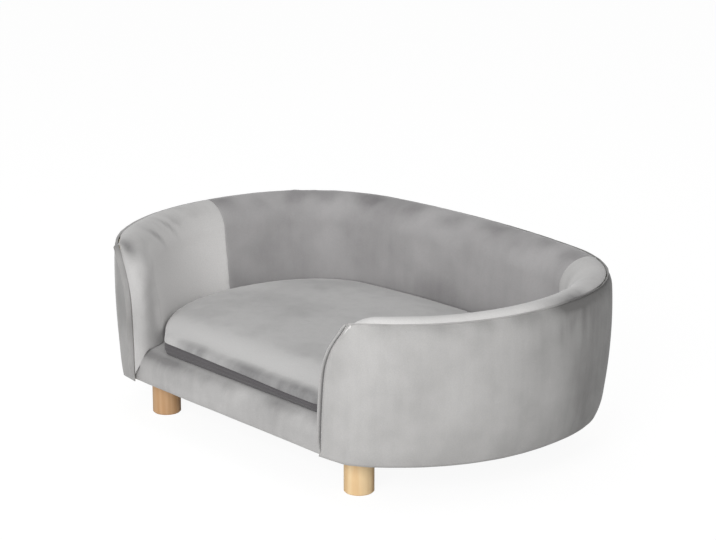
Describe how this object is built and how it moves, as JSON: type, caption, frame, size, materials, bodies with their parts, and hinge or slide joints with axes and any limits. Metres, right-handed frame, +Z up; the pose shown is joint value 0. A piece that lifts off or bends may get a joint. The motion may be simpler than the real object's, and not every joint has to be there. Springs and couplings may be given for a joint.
{
  "type": "dog sofa bed",
  "caption": "Small oval sofa bed for a pet: upholstered tub wall round a loose cushion, front rail, turned wooden legs.",
  "frame": {"origin": "on the floor, under the middle of the outer box", "axes": "+X to the sofa's left-hand arm as seen by someone sitting in it facing out, which is the right arm in the front view; +Y to the back; +Z up; the open front faces -Y"},
  "size_m": [0.7056, 0.4728, 0.2401],
  "materials": {
    "velvet_arms": "matte",
    "velvet_back": "matte",
    "velvet_outer": "matte",
    "velvet_cushion": "matte",
    "boxing_cloth": "matte",
    "lining_cloth": "matte",
    "foam": "matte",
    "plywood": "matte",
    "hardboard": "matte",
    "pine": "matte",
    "leg_wood": "satin",
    "zinc_steel": "satin",
    "zip_tape_cloth": "matte",
    "zip_plastic": "satin",
    "zip_metal": "satin"
  },
  "bodies": {
    "sofa": {"base_board": "plywood", "front_rail_board": "plywood", "deck_board": "plywood", "deck_foam": "foam", "deck_cover": "velvet_cushion", "top_rail": "plywood", "outer_panel": "hardboard", "inner_panel": "hardboard", "outer_foam": "foam", "arm_front_board_right": "plywood", "arm_front_board_left": "plywood", "front_rail_foam": "foam", "outer_cover": "velvet_outer", "front_rail_cover": "velvet_arms", "base_lining": "lining_cloth", "hem_staples": "zinc_steel", "lining_staples": "zinc_steel", "post_screws": "zinc_steel", "right_arm_foam": "foam", "back_foam": "foam", "left_arm_foam": "foam", "right_arm_cover": "velvet_arms", "back_cover": "velvet_back", "left_arm_cover": "velvet_arms", "deck_batten_1": "pine", "deck_batten_2": "pine", "deck_batten_3": "pine", "wall_post_1": "pine", "wall_post_2": "pine", "wall_post_3": "pine", "wall_post_4": "pine", "wall_post_5": "pine", "wall_post_6": "pine", "wall_post_7": "pine", "wall_post_8": "pine", "leg_front_left": "leg_wood", "hanger_bolt_front_left": "zinc_steel", "tee_nut_front_left": "zinc_steel", "leg_front_right": "leg_wood", "hanger_bolt_front_right": "zinc_steel", "tee_nut_front_right": "zinc_steel", "leg_back_left": "leg_wood", "hanger_bolt_back_left": "zinc_steel", "tee_nut_back_left": "zinc_steel", "leg_back_right": "leg_wood", "hanger_bolt_back_right": "zinc_steel", "tee_nut_back_right": "zinc_steel"},
    "cushion": {"cushion_foam": "foam", "cushion_top_cover": "velvet_cushion", "cushion_boxing": "boxing_cloth", "cushion_bottom_cover": "lining_cloth", "zip_tape": "zip_tape_cloth", "zip_chain": "zip_plastic"},
    "zip_slider": {"zip_slider": "zip_metal", "zip_pull": "zip_metal"}
  },
  "joints": [
    {"name": "cushion_lift", "type": "slide", "parent": "sofa", "child": "cushion", "axis": [0, 0, 1], "range_m": [0, 0.3]},
    {"name": "zip_slide", "type": "slide", "parent": "cushion", "child": "zip_slider", "axis": [1, 0, 0], "range_m": [0, 0.334]}
  ]
}
